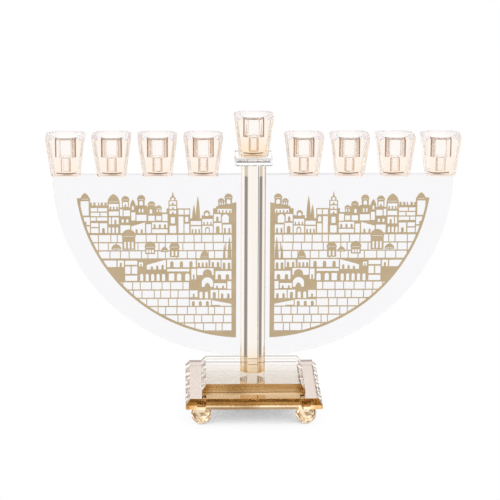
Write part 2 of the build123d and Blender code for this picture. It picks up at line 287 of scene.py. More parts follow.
def bond(name, cover=None):
    """Glued face: light crosses it without bending; the next face it meets counts the whole path."""
    material, tree = new_material(name)
    film = mix_colour(tree, speckles(tree, 250.0, 1.0), WHITE, (0.97, 0.97, 0.97))
    clear = node(tree, "ShaderNodeBsdfTransparent")
    link(tree, film, clear.inputs["Color"])
    output = node(tree, "ShaderNodeOutputMaterial")
    link(tree, covered(tree, clear.outputs[0], film, cover), output.inputs["Surface"])
    return material


def satin_brass(name):
    """Laser-cut sheet with a fine satin grain and slightly toasted patches."""
    material, tree = new_material(name)
    where = node(tree, "ShaderNodeNewGeometry")
    patches = node(tree, "ShaderNodeTexNoise", Scale=60.0, Detail=3.0)
    link(tree, where.outputs["Position"], patches.inputs["Vector"])
    tone = node(tree, "ShaderNodeMapRange")
    tone.inputs["To Min"].default_value = 0.0
    tone.inputs["To Max"].default_value = 1.0
    link(tree, patches.outputs["Fac"], tone.inputs["Value"])
    colour = node(tree, "ShaderNodeMix", data_type="RGBA")
    colour.inputs["A"].default_value = (0.47, 0.36, 0.215, 1)
    colour.inputs["B"].default_value = (0.60, 0.48, 0.315, 1)
    link(tree, tone.outputs[0], colour.inputs["Factor"])
    stretch = node(tree, "ShaderNodeMapping")
    stretch.inputs["Scale"].default_value = (300.0, 300.0, 4000.0)
    link(tree, where.outputs["Position"], stretch.inputs["Vector"])
    grain = node(tree, "ShaderNodeTexNoise", Scale=1.0, Detail=2.0)
    link(tree, stretch.outputs[0], grain.inputs["Vector"])
    bump = node(tree, "ShaderNodeBump", Strength=0.4, Distance=0.02 * MM)
    link(tree, grain.outputs["Fac"], bump.inputs["Height"])
    metal = node(tree, "ShaderNodeBsdfPrincipled", Metallic=0.9, Roughness=0.42)
    link(tree, colour.outputs["Result"], metal.inputs["Base Color"])
    link(tree, bump.outputs["Normal"], metal.inputs["Normal"])
    output = node(tree, "ShaderNodeOutputMaterial")
    link(tree, metal.outputs[0], output.inputs["Surface"])
    return material


def joint_shade(tree):
    """Painted shade: grey strips that the glued panels throw into the column's slanting facets,
    drawn for camera rays only.
    """
    here = place(tree)
    across = size_of(tree, here["X"])
    inner = map_range(tree, across, 4.9 * MM, 6.2 * MM, 0.0, 1.0)
    outer = map_range(tree, across, 8.2 * MM, 9.0 * MM, 1.0, 0.0)
    low = map_range(tree, here["Z"], JOINT_LOW - MM, JOINT_LOW + MM, 0.0, 1.0)
    high = map_range(tree, here["Z"], JOINT_HIGH - MM, JOINT_HIGH + MM, 1.0, 0.0)
    band = times(tree, inner, outer)
    joint = times(tree, low, high)
    tone = mix_colour(tree, joint, WARM_STRIP, GREY_STRIP)
    strip = mix_colour(tree, band, WHITE, tone)
    path = node(tree, "ShaderNodeLightPath")
    strip = mix_colour(tree, path.outputs["Is Camera Ray"], WHITE, strip)
    return from_outside(tree, times(tree, strip, foot_glow(tree, CORNER_GLOW, CORNER_GLOW_REACH)))


def foot_glow(tree, tone, reach):
    """Warm glow that the base throws into the foot of the column."""
    height = place(tree)["Z"]
    near = map_range(tree, height, COLUMN_FOOT, COLUMN_FOOT + reach, 1.0, 0.0)
    wide = map_range(tree, height, COLUMN_FOOT, COLUMN_FOOT + FOOT_GLOW_REACH, 1.0, 0.0)
    rim = mix_colour(tree, near, WHITE, tone)
    return times(tree, rim, mix_colour(tree, wide, COLUMN_PALE, FOOT_GLOW))


def flat_shade(tree):
    """Tone of the column's flats, with painted warm glow towards the foot."""
    return from_outside(tree, foot_glow(tree, FLAT_GLOW, FLAT_GLOW_REACH))


def silvered(tree, colour):
    """Mirror coat under the base, which steep light meets; shallow light is turned back anyway."""
    steep = map_range(tree, facing(tree), 0.30, 0.42, 1.0, 0.0)
    amount = node(tree, "ShaderNodeMath", operation="MULTIPLY")
    link(tree, steep, amount.inputs[0])
    link(tree, from_inside(tree), amount.inputs[1])
    mirror = node(tree, "ShaderNodeBsdfGlossy", Roughness=0.0)
    link(tree, colour, mirror.inputs["Color"])
    return amount.outputs[0], mirror.outputs[0]


def polished_edge(tree, colour):
    """Edge of a thin sheet, which light mostly crosses unbent; a speckled grey tint darkens it a
    little, and from outside, seen squarely, it is matte.
    """
    grain = speckles(tree, 900.0, 2.0)
    clear = node(tree, "ShaderNodeBsdfTransparent")
    link(tree, mix_colour(tree, grain, (0.88, 0.87, 0.88), (0.94, 0.93, 0.94)),
         clear.inputs["Color"])
    frost = node(tree, "ShaderNodeBsdfDiffuse")
    link(tree, mix_colour(tree, grain, (0.80, 0.81, 0.82), (0.92, 0.92, 0.93)),
         frost.inputs["Color"])
    square = map_range(tree, facing(tree), 0.45, 0.70, 1.0, 0.0)
    seen = mix_colour(tree, from_inside(tree), square, BLACK)
    both = node(tree, "ShaderNodeMixShader")
    link(tree, seen, both.inputs[0])
    link(tree, clear.outputs[0], both.inputs[1])
    link(tree, frost.outputs[0], both.inputs[2])
    amount = map_range(tree, grain, 0.0, 1.0, 0.86, 0.94)
    return amount, both.outputs[0]


def panel_fill(tree):
    """Slight grey of a glass sheet looked through squarely."""
    square = map_range(tree, facing(tree), 0.13, 0.24, 1.0, 0.0)
    grey = mix_colour(tree, square, WHITE, (0.905, 0.90, 0.915))
    return mix_colour(tree, from_inside(tree), WHITE, grey)


def stripes(tree):
    """Painted reflection: slanting stripes, the far bevels mirrored over and over in the side
    bevels.
    """
    here = place(tree)
    slant = node(tree, "ShaderNodeMath", operation="MULTIPLY_ADD")
    link(tree, here["Z"], slant.inputs[0])
    slant.inputs[1].default_value = STRIPE_SLANT
    link(tree, here["Y"], slant.inputs[2])
    wave = node(tree, "ShaderNodeMath", operation="SINE")
    phase = node(tree, "ShaderNodeMath", operation="MULTIPLY")
    link(tree, slant.outputs[0], phase.inputs[0])
    phase.inputs[1].default_value = 2 * pi / STRIPE_SPACING
    link(tree, phase.outputs[0], wave.inputs[0])
    amount = map_range(tree, wave.outputs[0], -0.4, 0.4, 0.0, 1.0)
    return mix_colour(tree, amount, (0.80, 0.73, 0.69), (1.04, 1.02, 1.0))


def top_tone(tree, front_tone):
    """Top of a base plate: clear at the back, with painted shade that darkens it towards the front.
    """
    back = map_range(tree, place(tree, "piece")["Y"], 0.15, 0.85, 0.0, 1.0)
    return mix_colour(tree, back, front_tone, WHITE)


def upper_top(tree):
    """Top of the upper plate."""
    return from_outside(tree, top_tone(tree, UPPER_TOP_FRONT))


def lower_top(tree):
    """Top of the lower plate, painted darker; its strip in front of the upper plate is painted tan,
    for the shaded floor seen through it.
    """
    here = place(tree)
    strip = map_range(tree, here["Y"], STRIP_BACK - MM, STRIP_BACK + MM, 1.0, 0.0)
    across = size_of(tree, here["X"])
    middle = map_range(tree, across, -STRIP_BACK - 2 * MM, -STRIP_BACK + MM, 1.0, 0.0)
    tone = mix_colour(tree, times(tree, strip, middle), LOWER_TOP, LOWER_TOP_STRIP)
    return from_outside(tree, tone)


def streaks(tree):
    """Painted reflections: fine level lines that the far edges of the base throw into its bevels,
    with painted shade at the front bevels' ends.
    """
    where = node(tree, "ShaderNodeNewGeometry")
    stretch = node(tree, "ShaderNodeMapping")
    stretch.inputs["Scale"].default_value = (9.0, 9.0, 420.0)
    link(tree, where.outputs["Position"], stretch.inputs["Vector"])
    noise = node(tree, "ShaderNodeTexNoise", Scale=1.0, Detail=3.0)
    link(tree, stretch.outputs[0], noise.inputs["Vector"])
    amount = map_range(tree, noise.outputs["Fac"], 0.35, 0.65, 0.0, 1.0)
    fine = mix_colour(tree, amount, (0.80, 0.74, 0.66), (1.08, 1.08, 1.08))
    broad = map_range(tree, speckles(tree, 22.0, 1.0), 0.35, 0.65, 0.0, 1.0)
    slow = mix_colour(tree, broad, (0.82, 0.76, 0.66), (1.15, 1.16, 1.20))
    extent = place(tree, "piece")
    left_end = map_range(tree, extent["X"], 0.04, 0.12, 1.0, 0.0)
    right_end = map_range(tree, extent["X"], 0.88, 0.96, 0.0, 1.0)
    front = map_range(tree, extent["Y"], 0.06, 0.10, 1.0, 0.0)
    normal = node(tree, "ShaderNodeSeparateXYZ")
    link(tree, where.outputs["True Normal"], normal.inputs[0])
    on_side = map_range(tree, size_of(tree, normal.outputs["X"]), 0.4, 0.6, 0.0, 1.0)
    grazing = map_range(tree, facing(tree), 0.35, 0.60, 0.0, 1.0)
    ends = node(tree, "ShaderNodeMath", operation="ADD")
    link(tree, left_end, ends.inputs[0])
    link(tree, right_end, ends.inputs[1])
    # painted shade at the ends of the front bevels
    corner = mix_colour(tree, times(tree, ends.outputs[0], front), WHITE, (0.72, 0.58, 0.38))
    level = times(tree, times(tree, fine, slow), corner)
    striped = times(tree, on_side, grazing)
    return from_outside(tree, mix_colour(tree, striped, level, stripes(tree)))


def facet_sparkle(tree):
    """Painted light and shade: gives every facet of a foot its own tone, from shaded brown to bright
    gold glints.
    """
    where = node(tree, "ShaderNodeNewGeometry")
    dice = node(tree, "ShaderNodeTexWhiteNoise", noise_dimensions="3D")
    snapped = node(tree, "ShaderNodeVectorMath", operation="SNAP")
    link(tree, where.outputs["True Normal"], snapped.inputs[0])
    snapped.inputs[1].default_value = (0.01, 0.01, 0.01)
    link(tree, snapped.outputs[0], dice.inputs["Vector"])
    gold = map_range(tree, dice.outputs["Value"], 0.0, 0.45, 0.0, 1.0)
    bright = map_range(tree, dice.outputs["Value"], 0.55, 1.0, 0.0, 1.0)
    dark = mix_colour(tree, gold, (0.55, 0.40, 0.25), (0.98, 0.90, 0.78))
    return mix_colour(tree, bright, dark, (1.25, 1.20, 1.08))


def deeper_below(foot_tone):
    """Returns a shade that deepens from the rim of a cup towards its foot.

    Light inside the cup also meets a short brown bar of painted shade low on the far wall, standing
    in for the rear bevel.
    """
    def shade(tree):
        within = place(tree, "piece")
        height = map_range(tree, within["Z"], 0.0, 0.75, 0.0, 1.0)
        outside = mix_colour(tree, height, foot_tone, WHITE)
        centred = node(tree, "ShaderNodeMath", operation="SUBTRACT")
        link(tree, within["X"], centred.inputs[0])
        centred.inputs[1].default_value = 0.5
        away = size_of(tree, centred.outputs[0])
        curve = node(tree, "ShaderNodeMath", operation="MULTIPLY")
        link(tree, away, curve.inputs[0])
        link(tree, away, curve.inputs[1])
        level = node(tree, "ShaderNodeMath", operation="MULTIPLY_ADD")
        link(tree, curve.outputs[0], level.inputs[0])
        level.inputs[1].default_value = -BAR_SAG
        link(tree, within["Z"], level.inputs[2])
        low = map_range(tree, level.outputs[0], 0.010, 0.020, 0.0, 1.0)
        high = map_range(tree, level.outputs[0], 0.034, 0.048, 1.0, 0.0)
        middle = map_range(tree, away, 0.235, 0.27, 1.0, 0.0)
        far = map_range(tree, within["Y"], 0.6, 0.7, 0.0, 1.0)
        bar = times(tree, times(tree, low, high), times(tree, middle, far))
        inside = mix_colour(tree, bar, WHITE, BAR)
        return mix_colour(tree, from_inside(tree), outside, inside)
    return shade


def painted_pale_cover(dark, light, least, most):
    """Returns a cover of painted pale tone: light passes straight through it, tinted by speckles
    between dark and light.
    """
    def cover(tree, colour):
        grain = speckles(tree, 300.0, 1.0)
        clear = node(tree, "ShaderNodeBsdfTransparent")
        link(tree, mix_colour(tree, grain, dark, light), clear.inputs["Color"])
        return map_range(tree, grain, 0.0, 1.0, least, most), clear.outputs[0]
    return cover


# painted light: the corner facets of a cup, and its rim, mostly show the white of the studio
# straight through a pale tint
corner_painted_pale = painted_pale_cover((0.93, 0.88, 0.84), (0.97, 0.94, 0.91), 0.70, 0.80)
rim_painted_pale = painted_pale_cover((0.84, 0.80, 0.82), (0.95, 0.92, 0.94), 0.60, 0.75)


def edge_grey(tree):
    """Painted shade: soft uneven grey on the collar's upper bevels, which show where the clear plate
    ends.
    """
    return mix_colour(tree, speckles(tree, 250.0, 1.0), (0.80, 0.79, 0.78), (0.94, 0.93, 0.92))


def speckle(tree):
    """Painted row of small dark glints along a bevel."""
    amount = map_range(tree, speckles(tree, 700.0, 1.0), 0.42, 0.6, 0.0, 1.0)
    return mix_colour(tree, amount, (0.42, 0.41, 0.40), WHITE)


def cup_set(name, foot_tone):
    """Surfaces of a cup: body, glued seat, bore walls, dish, corner facets, rim."""
    deep = deeper_below(foot_tone)
    return (
        "champagne_crystal",
        crystal(name + "_crystal", CUP_TINT, shade=deep),
        glue,
        crystal(name + "_bore_wall", CUP_TINT, glancing=BORE_LINE),
        crystal(name + "_dish", CUP_TINT, lining=DISH_LINE, glancing=DISH_LINE),
        crystal(name + "_corner", CUP_TINT, skin=foot_tone, cover=corner_painted_pale),
        crystal(name + "_rim", CUP_TINT, skin=PINK, cover=rim_painted_pale),
    )


def base_set(name, top_shade, side_tone, bevel_tone):
    """Surfaces of a base plate: top, glued areas, upright sides, bevels, underside."""
    return (
        "champagne_crystal",
        crystal(name + "_crystal", BASE_TINT, shade=top_shade),
        glue,
        crystal(name + "_side", BASE_TINT, skin=side_tone, shade=streaks),
        crystal(name + "_bevel", BASE_TINT, skin=bevel_tone, shade=streaks),
        crystal(name + "_underside", BASE_TINT, cover=silvered),
        bond(name + "_foot_seat", cover=silvered),
    )


brass = satin_brass("satin_brass")
glue = bond("clear_glue")
ARM_CUP_SET = cup_set("arm_cup", ARM_CUP_FOOT)
CENTRE_CUP_SET = cup_set("centre_cup", CENTRE_CUP_FOOT)
COLUMN_SET = (
    "champagne_crystal",
    crystal("column_crystal", COLUMN_TINT, shade=flat_shade),
    glue,
    crystal("column_facet", COLUMN_TINT, shade=joint_shade),
)
UPPER_BASE_SET = base_set("upper_base", upper_top, UPPER_SIDE, UPPER_BEVEL)
LOWER_BASE_SET = base_set("lower_base", lower_top, LOWER_SIDE, LOWER_BEVEL)
FOOT_SET = (
    "champagne_crystal",
    crystal("foot_crystal", FOOT_TINT, shade=facet_sparkle),
    glue,
)
PANEL_SET = (
    "clear_glass",
    crystal("panel_glass", WHITE, shade=panel_fill),
    glue,
    crystal("panel_edge", WHITE, cover=polished_edge),
)
COLLAR_SET = (
    "clear_glass",
    crystal("collar_glass", CLEAR_TINT),
    glue,
    crystal("collar_bevel", CLEAR_TINT, shade=speckle),
    crystal("collar_side", CLEAR_TINT, cover=polished_edge),
    crystal("collar_top_bevel", CLEAR_TINT, shade=edge_grey),
)


# ------------------------------------------------------------------ mesh helpers
def stacked_shell(rings):
    """Closed bmesh through rings with the same number of points, with a flat cap at each end."""
    mesh = bmesh.new()
    loops = [[mesh.verts.new(point) for point in ring] for ring in rings]
    count = len(rings[0])
    for lower, upper in zip(loops, loops[1:]):
        for index in range(count):
            after = (index + 1) % count
            mesh.faces.new((lower[index], lower[after], upper[after], upper[index]))
    mesh.faces.new(list(reversed(loops[0])))
    mesh.faces.new(loops[-1])
    bmesh.ops.recalc_face_normals(mesh, faces=mesh.faces)
    return mesh


def chamfered_square(x, half, chamfer, z):
    """Eight corner points of a square centred on (x, 0) with its corners cut off."""
    inner = half - chamfer
    corners = ((half, -inner), (half, inner), (inner, half), (-inner, half),
               (-half, inner), (-half, -inner), (-inner, -half), (inner, -half))
    return [Vector((x + dx, dy, z)) for dx, dy in corners]


def rectangle(x0, x1, y0, y1, z):
    """Four corner points of an upright-sided rectangle, anticlockwise from above."""
    return [Vector((x0, y0, z)), Vector((x1, y0, z)), Vector((x1, y1, z)), Vector((x0, y1, z))]


def on_plane(face, point, normal):
    """True where a face lies in the plane through point."""
    away = abs((face.calc_center_median() - point).dot(normal))
    return away < 0.01 * MM and abs(face.normal.dot(normal)) > 0.999


def imprint(mesh, outline, normal, slot=BONDED):
    """Gives the part of a flat face that lies inside a convex outline its own surface."""
    point = outline[0]
    for start, end in zip(outline, outline[1:] + outline[:1]):
        targets = [face for face in mesh.faces if on_plane(face, point, normal)]
        edges = {edge for face in targets for edge in face.edges}
        corners = {vertex for face in targets for vertex in face.verts}
        bmesh.ops.bisect_plane(
            mesh,
            geom=targets + list(edges) + list(corners),
            plane_co=start,
            plane_no=(end - start).cross(normal),
            dist=1e-7,
        )
    centre = sum(outline, Vector()) / len(outline)
    for face in mesh.faces:
        if not on_plane(face, point, normal):
            continue
        middle = face.calc_center_median()
        inside = True
        for start, end in zip(outline, outline[1:] + outline[:1]):
            side = (end - start).cross(normal)
            if (middle - start).dot(side) * (centre - start).dot(side) < 0:
                inside = False
        if inside:
            face.material_index = slot


def finish_piece(mesh, name, material_set, cad_node):
    """Turns a bmesh into a piece that rides on the frame in place of its CAD node."""
    data = bpy.data.meshes.new(name)
    mesh.to_mesh(data)
    mesh.free()
    record_slot, *surfaces = material_set
    for surface in surfaces:
        data.materials.append(surface)
    piece = bpy.data.objects.new(name, data)
    bpy.context.scene.collection.objects.link(piece)
    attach(piece, "root")
    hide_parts(cad_node)
    return piece


# ------------------------------------------------------------------ candle cups
CUP_CHAMFER = 3.4 * MM
CORNER_FACET = 2.6 * MM
CUP_BOTTOM_HALF = 14.0 * MM
BOTTOM_BEVEL = 1.0 * MM
MOUTH_RADIUS = 14.6 * MM
MOUTH_DEPTH = 1.8 * MM
RECESS_RADIUS = 10.0 * MM
RECESS_DEPTH = 19.6 * MM
SOCKET_RADIUS = 4.6 * MM
SOCKET_DEPTH = 34.2 * MM
LEAD_IN = 0.8 * MM
PANEL_HALF = 4.0 * MM

BORE_WALL = 2  # further material slots of a cup
DISH = 3
CORNER = 4
RIM = 5


def cut_top_corners(mesh, x, half, top):
    """Cuts a sloping facet where each leaning edge meets the top."""
    reach = 2 * half - CUP_CHAMFER - CORNER_FACET * sqrt(2)
    for sx in (-1, 1):
        for sy in (-1, 1):
            on_top = Vector((x + sx * reach / 2, sy * reach / 2, top))
            outward = Vector((sx, sy, sqrt(2))).normalized()
            cut = bmesh.ops.bisect_plane(
                mesh,
                geom=list(mesh.verts) + list(mesh.edges) + list(mesh.faces),
                plane_co=on_top,
                plane_no=outward,
                clear_outer=True,
            )
            rim = [item for item in cut["geom_cut"] if isinstance(item, bmesh.types.BMEdge)]
            facet = bmesh.ops.edgeloop_fill(mesh, edges=rim)
            for face in facet["faces"]:
                face.material_index = RIM


def circle_points(x, radius, z):
    """Points of a horizontal circle centred on (x, 0)."""
    points = []
    for step in range(CURVE_STEPS):
        angle = 2 * pi * step / CURVE_STEPS
        points.append(Vector((x + radius * cos(angle), radius * sin(angle), z)))
    return points


def bore(mesh, x, profile, slots):
    """Opens the top face and lines the hole with smooth rings that follow the profile."""
    lid = max(mesh.faces, key=lambda face: face.calc_center_median().z)
    lid_edges = list(lid.edges)
    bmesh.ops.delete(mesh, geom=[lid], context="FACES_ONLY")
    loops = []
    for radius, z in profile:
        loops.append([mesh.verts.new(point) for point in circle_points(x, radius, z)])
    mouth_edges = []
    for index in range(CURVE_STEPS):
        mouth_edges.append(mesh.edges.new((loops[0][index - 1], loops[0][index])))
    rim = bmesh.ops.triangle_fill(mesh, use_beauty=True, edges=lid_edges + mouth_edges)
    for item in rim["geom"]:
        if isinstance(item, bmesh.types.BMFace):
            item.material_index = RIM
    for upper, lower, slot in zip(loops, loops[1:], slots):
        for index in range(CURVE_STEPS):
            wall = (upper[index - 1], lower[index - 1], lower[index], upper[index])
            face = mesh.faces.new(wall)
            face.smooth = True
            face.material_index = slot
        for index in range(CURVE_STEPS):
            edge = mesh.edges.get((upper[index - 1], upper[index]))
            edge.smooth = False
    mesh.faces.new(loops[-1])
    for index in range(CURVE_STEPS):
        mesh.edges.get((loops[-1][index - 1], loops[-1][index])).smooth = False
    bmesh.ops.recalc_face_normals(mesh, faces=mesh.faces)


def candle_cup(name, bonded_outline, material_set):
    """Tapered crystal cup with a dished mouth, a wide recess and a candle socket."""
    low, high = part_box(name)
    x = (low.x + high.x) / 2
    half = (high.x - low.x) / 2
    bottom = low.z + BOND_GAP
    top = high.z
    lean = (half - CUP_BOTTOM_HALF) / (top - bottom)
    seat_chamfer = CUP_CHAMFER - BOTTOM_BEVEL * (2 - sqrt(2))
    above_bevel = CUP_BOTTOM_HALF + BOTTOM_BEVEL * lean
    mesh = stacked_shell([
        chamfered_square(x, CUP_BOTTOM_HALF - BOTTOM_BEVEL, seat_chamfer, bottom),
        chamfered_square(x, above_bevel, CUP_CHAMFER, bottom + BOTTOM_BEVEL),
        chamfered_square(x, half, CUP_CHAMFER, top),
    ])
    for face in mesh.faces:
        if abs(face.normal.x) > 0.3 and abs(face.normal.y) > 0.3:
            face.material_index = CORNER
    cut_top_corners(mesh, x, half, top)
    bore(mesh, x, [
        (MOUTH_RADIUS, top),
        (RECESS_RADIUS, top - MOUTH_DEPTH),
        (RECESS_RADIUS, top - RECESS_DEPTH),
        (SOCKET_RADIUS + LEAD_IN, top - RECESS_DEPTH),
        (SOCKET_RADIUS, top - RECESS_DEPTH - LEAD_IN),
        (SOCKET_RADIUS, top - SOCKET_DEPTH),
    ], (DISH, BORE_WALL, POLISHED, BORE_WALL, BORE_WALL))
    imprint(mesh, bonded_outline(x, bottom), Vector((0, 0, 1)))
    return finish_piece(mesh, name + "_crystal", material_set, name)


def seat_on_panel(x, z):
    """Strip of an arm cup's underside that is glued to the panel's top edge."""
    reach = CUP_BOTTOM_HALF + MM
    return rectangle(x - reach, x + reach, -PANEL_HALF, PANEL_HALF, z)


def seat_on_collar(x, z):
    """The centre cup's whole underside is glued to the collar."""
    reach = CUP_BOTTOM_HALF + MM
    return rectangle(x - reach, x + reach, -reach, reach, z)


ARM_CUPS = ["%s_cup_%d" % (side, number) for side in ("left", "right") for number in range(1, 5)]
for cup_name in ARM_CUPS:
    candle_cup(cup_name, seat_on_panel, ARM_CUP_SET)
candle_cup("shamash_cup", seat_on_collar, CENTRE_CUP_SET)


# ------------------------------------------------------------------ collar and column
def octagon(half, z):
    """Corner points of the column's eight-sided section, flats facing the axes."""
    corner = half / cos(pi / 8)
    points = []
    for side in range(8):
        angle = pi / 8 + side * pi / 4
        points.append(Vector((corner * cos(angle), corner * sin(angle), z)))
    return points


COLLAR_CHAMFER = 1.6 * MM
COLLAR_BEVEL = 2  # further material slots of the collar
COLLAR_SIDE = 3
COLLAR_TOP_BEVEL = 4
SLANTING_FACET = 2  # further material slot of the column
UP = Vector((0, 0, 1))
column_low, column_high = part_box("column")
COLUMN_HALF = column_high.x


def collar():
    """Clear square plate between the column and the centre cup."""
    low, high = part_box("shamash_collar")
    bottom = low.z + BOND_GAP
    small = high.x - COLLAR_CHAMFER
    wide = high.x
    mesh = stacked_shell([
        rectangle(-small, small, -small, small, bottom),
        rectangle(-wide, wide, -wide, wide, bottom + COLLAR_CHAMFER),
        rectangle(-wide, wide, -wide, wide, high.z - COLLAR_CHAMFER),
        rectangle(-small, small, -small, small, high.z),
    ])
    for face in mesh.faces:
        if abs(face.normal.x) > 0.5:
            face.material_index = COLLAR_SIDE
        elif -0.9 < face.normal.z < -0.1:
            face.material_index = COLLAR_BEVEL
        elif 0.1 < face.normal.z < 0.9:
            face.material_index = COLLAR_TOP_BEVEL
    return finish_piece(mesh, "shamash_collar_glass", COLLAR_SET, "shamash_collar")


def column():
    """Eight-sided crystal prism, glued at both ends and to both panels."""
    bottom = column_low.z + BOND_GAP
    top = column_high.z
    mesh = stacked_shell([octagon(COLUMN_HALF, bottom), octagon(COLUMN_HALF, top)])
    for face in mesh.faces:
        if face.normal.z < -0.9:
            face.material_index = BONDED
        elif abs(face.normal.x) > 0.1 and abs(face.normal.y) > 0.1:
            face.material_index = SLANTING_FACET
    return finish_piece(mesh, "column_crystal", COLUMN_SET, "column")


collar()
column()

# ------------------------------------------------------------------ glass panels
PANEL_CHAMFER = 0.4 * MM
EDGE = 2  # further material slot of a panel


def quarter_disc(side, y, inset):
    """Outline of a quarter disc in the plane y; the arc is drawn in by inset."""
    low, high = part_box("right_panel")
    inner = low.x + BOND_GAP
    centre = low.x
    radius = high.x - low.x - inset
    points = [Vector((side * inner, y, high.z))]
    for step in range(ARC_STEPS + 1):
        angle = pi / 2 * step / ARC_STEPS
        across = max(centre + radius * cos(angle), inner)
        points.append(Vector((side * across, y, high.z - radius * sin(angle))))
    return points


def panel(name, side):
    """Clear quarter disc; its upright edge is glued to the column."""
    low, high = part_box(name)
    front = low.y + BOND_GAP
    back = high.y
    mesh = stacked_shell([
        quarter_disc(side, front, PANEL_CHAMFER),
        quarter_disc(side, front + PANEL_CHAMFER, 0.0),
        quarter_disc(side, back - PANEL_CHAMFER, 0.0),
        quarter_disc(side, back, PANEL_CHAMFER),
    ])
    for face in mesh.faces:
        on_arc = abs(face.normal.z) < 0.9999 and abs(face.normal.x) < 0.99999
        face.smooth = on_arc and abs(face.normal.y) < 0.9
        if abs(face.normal.y) < 0.9:
            face.material_index = EDGE
    inner_x = side * (COLUMN_HALF + BOND_GAP)
    for face in mesh.faces:
        if abs(face.calc_center_median().x - inner_x) < BOND_GAP / 4:
            face.material_index = BONDED
            face.smooth = False
    for edge in mesh.edges:
        if edge.calc_face_angle(0.0) > radians(20):
            edge.smooth = False
    for number in range(1, 5):
        cup_low, cup_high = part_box("%s_cup_%d" % ("right" if side > 0 else "left", number))
        middle = (cup_low.x + cup_high.x) / 2
        reach = CUP_BOTTOM_HALF - BOTTOM_BEVEL
        seat = rectangle(middle - reach, middle + reach, -PANEL_HALF - MM, PANEL_HALF + MM, high.z)
        imprint(mesh, seat, UP)
    return finish_piece(mesh, name + "_glass", PANEL_SET, name)


panel("left_panel", -1)
panel("right_panel", 1)

# ------------------------------------------------------------------ base
BEVEL_WIDTH = 4.2 * MM
BEVEL_HEIGHT = 5.6 * MM
SIDE = 2  # further material slots of a base plate
BEVEL = 3
UNDERSIDE = 4
FOOT_SEAT = 5


def at_height(outline, z):
    """The same outline in the plane z."""
    return [Vector((point.x, point.y, z)) for point in outline]


def base_plate(name, glued_above, seats_below, seat_slot, material_set):
    """Bevelled square plate with glued areas on its top and underside."""
    low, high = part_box(name)
    bottom = low.z + BOND_GAP
    wide = high.x
    small = wide - BEVEL_WIDTH
    mesh = stacked_shell([
        rectangle(-wide, wide, -wide, wide, bottom),
        rectangle(-wide, wide, -wide, wide, high.z - BEVEL_HEIGHT),
        rectangle(-small, small, -small, small, high.z),
    ])
    for face in mesh.faces:
        if abs(face.normal.z) < 0.1:
            face.material_index = SIDE
        elif abs(face.normal.z) < 0.9:
            face.material_index = BEVEL
        elif face.normal.z < 0:
            face.material_index = UNDERSIDE
    for seat in glued_above:
        imprint(mesh, at_height(seat, high.z), UP)
    for seat in seats_below:
        imprint(mesh, at_height(seat, bottom), UP, seat_slot)
    return finish_piece(mesh, name + "_crystal", material_set, name)


# ------------------------------------------------------------------ feet
FOOT_SIDES = 12
FOOT_RINGS = 8
LOWEST_LATITUDE = radians(-75)
FOOT_RADIUS = 10.2 * MM


def foot_ring(number, x, y, height):
    """One ring of facet corners; each ring is turned by half a facet."""
    centre = -FOOT_RADIUS * sin(LOWEST_LATITUDE)
    highest = asin((height - centre) / FOOT_RADIUS)
    latitude = LOWEST_LATITUDE + (highest - LOWEST_LATITUDE) * number / (FOOT_RINGS - 1)
    radius = FOOT_RADIUS * cos(latitude)
    z = centre + FOOT_RADIUS * sin(latitude)
    points = []
    for side in range(FOOT_SIDES):
        angle = 2 * pi * (side + 0.5 * number) / FOOT_SIDES
        points.append(Vector((x + radius * cos(angle), y + radius * sin(angle), z)))
    return points


def foot_seat(name):
    """Outline of a foot's glued top flat."""
    low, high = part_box(name)
    return foot_ring(FOOT_RINGS - 1, (low.x + high.x) / 2, (low.y + high.y) / 2, high.z)


def ball_foot(name):
    """Faceted crystal ball: staggered rings of triangles between two flats."""
    low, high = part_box(name)
    x = (low.x + high.x) / 2
    y = (low.y + high.y) / 2
    mesh = bmesh.new()
    rings = []
    for number in range(FOOT_RINGS):
        rings.append([mesh.verts.new(point) for point in foot_ring(number, x, y, high.z)])
    for lower, upper in zip(rings, rings[1:]):
        for side in range(FOOT_SIDES):
            after = (side + 1) % FOOT_SIDES
            mesh.faces.new((lower[side], lower[after], upper[side]))
            mesh.faces.new((upper[side], lower[after], upper[after]))
    mesh.faces.new(list(reversed(rings[0])))
    mesh.faces.new(rings[-1]).material_index = BONDED
    bmesh.ops.recalc_face_normals(mesh, faces=mesh.faces)
    return finish_piece(mesh, name + "_crystal", FOOT_SET, name)


FEET = ("foot_front_left", "foot_front_right", "foot_back_left", "foot_back_right")
for foot_name in FEET:
    ball_foot(foot_name)
upper_low, upper_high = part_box("upper_base_plate")
upper_outline = rectangle(upper_low.x, upper_high.x, upper_low.y, upper_high.y, upper_low.z)
foot_seats = [foot_seat(name) for name in FEET]
base_plate("upper_base_plate", [], [upper_outline], BONDED, UPPER_BASE_SET)
base_plate("lower_base_plate", [upper_outline], foot_seats, FOOT_SEAT, LOWER_BASE_SET)

# ------------------------------------------------------------------ city plates
for city_name in ("left_city_plate", "right_city_plate"):
    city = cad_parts[city_name]
    city.data.materials.clear()
    city.data.materials.append(brass)


# ------------------------------------------------------------------ floor and light
FLOOR_SHADOW_REACH = 0.090
STUDIO_GAIN = 1.08  # the studio is this much brighter through cut glass than the paper white


def grey_value(tree, value):
    """Constant grey as a colour socket."""
    grey = node(tree, "ShaderNodeRGB")
    grey.outputs[0].default_value = (value, value, value, 1.0)
    return grey.outputs[0]


def grey_ramp(ramp, stops):
    """Fills a colour ramp with stops of place and colour."""
    while len(ramp.elements) < len(stops):
        ramp.elements.new(0.5)
    for element, (place, colour) in zip(ramp.elements, stops):
        element.position = place
    for element, (place, colour) in zip(ramp.elements, stops):
        element.color = (*colour, 1.0)


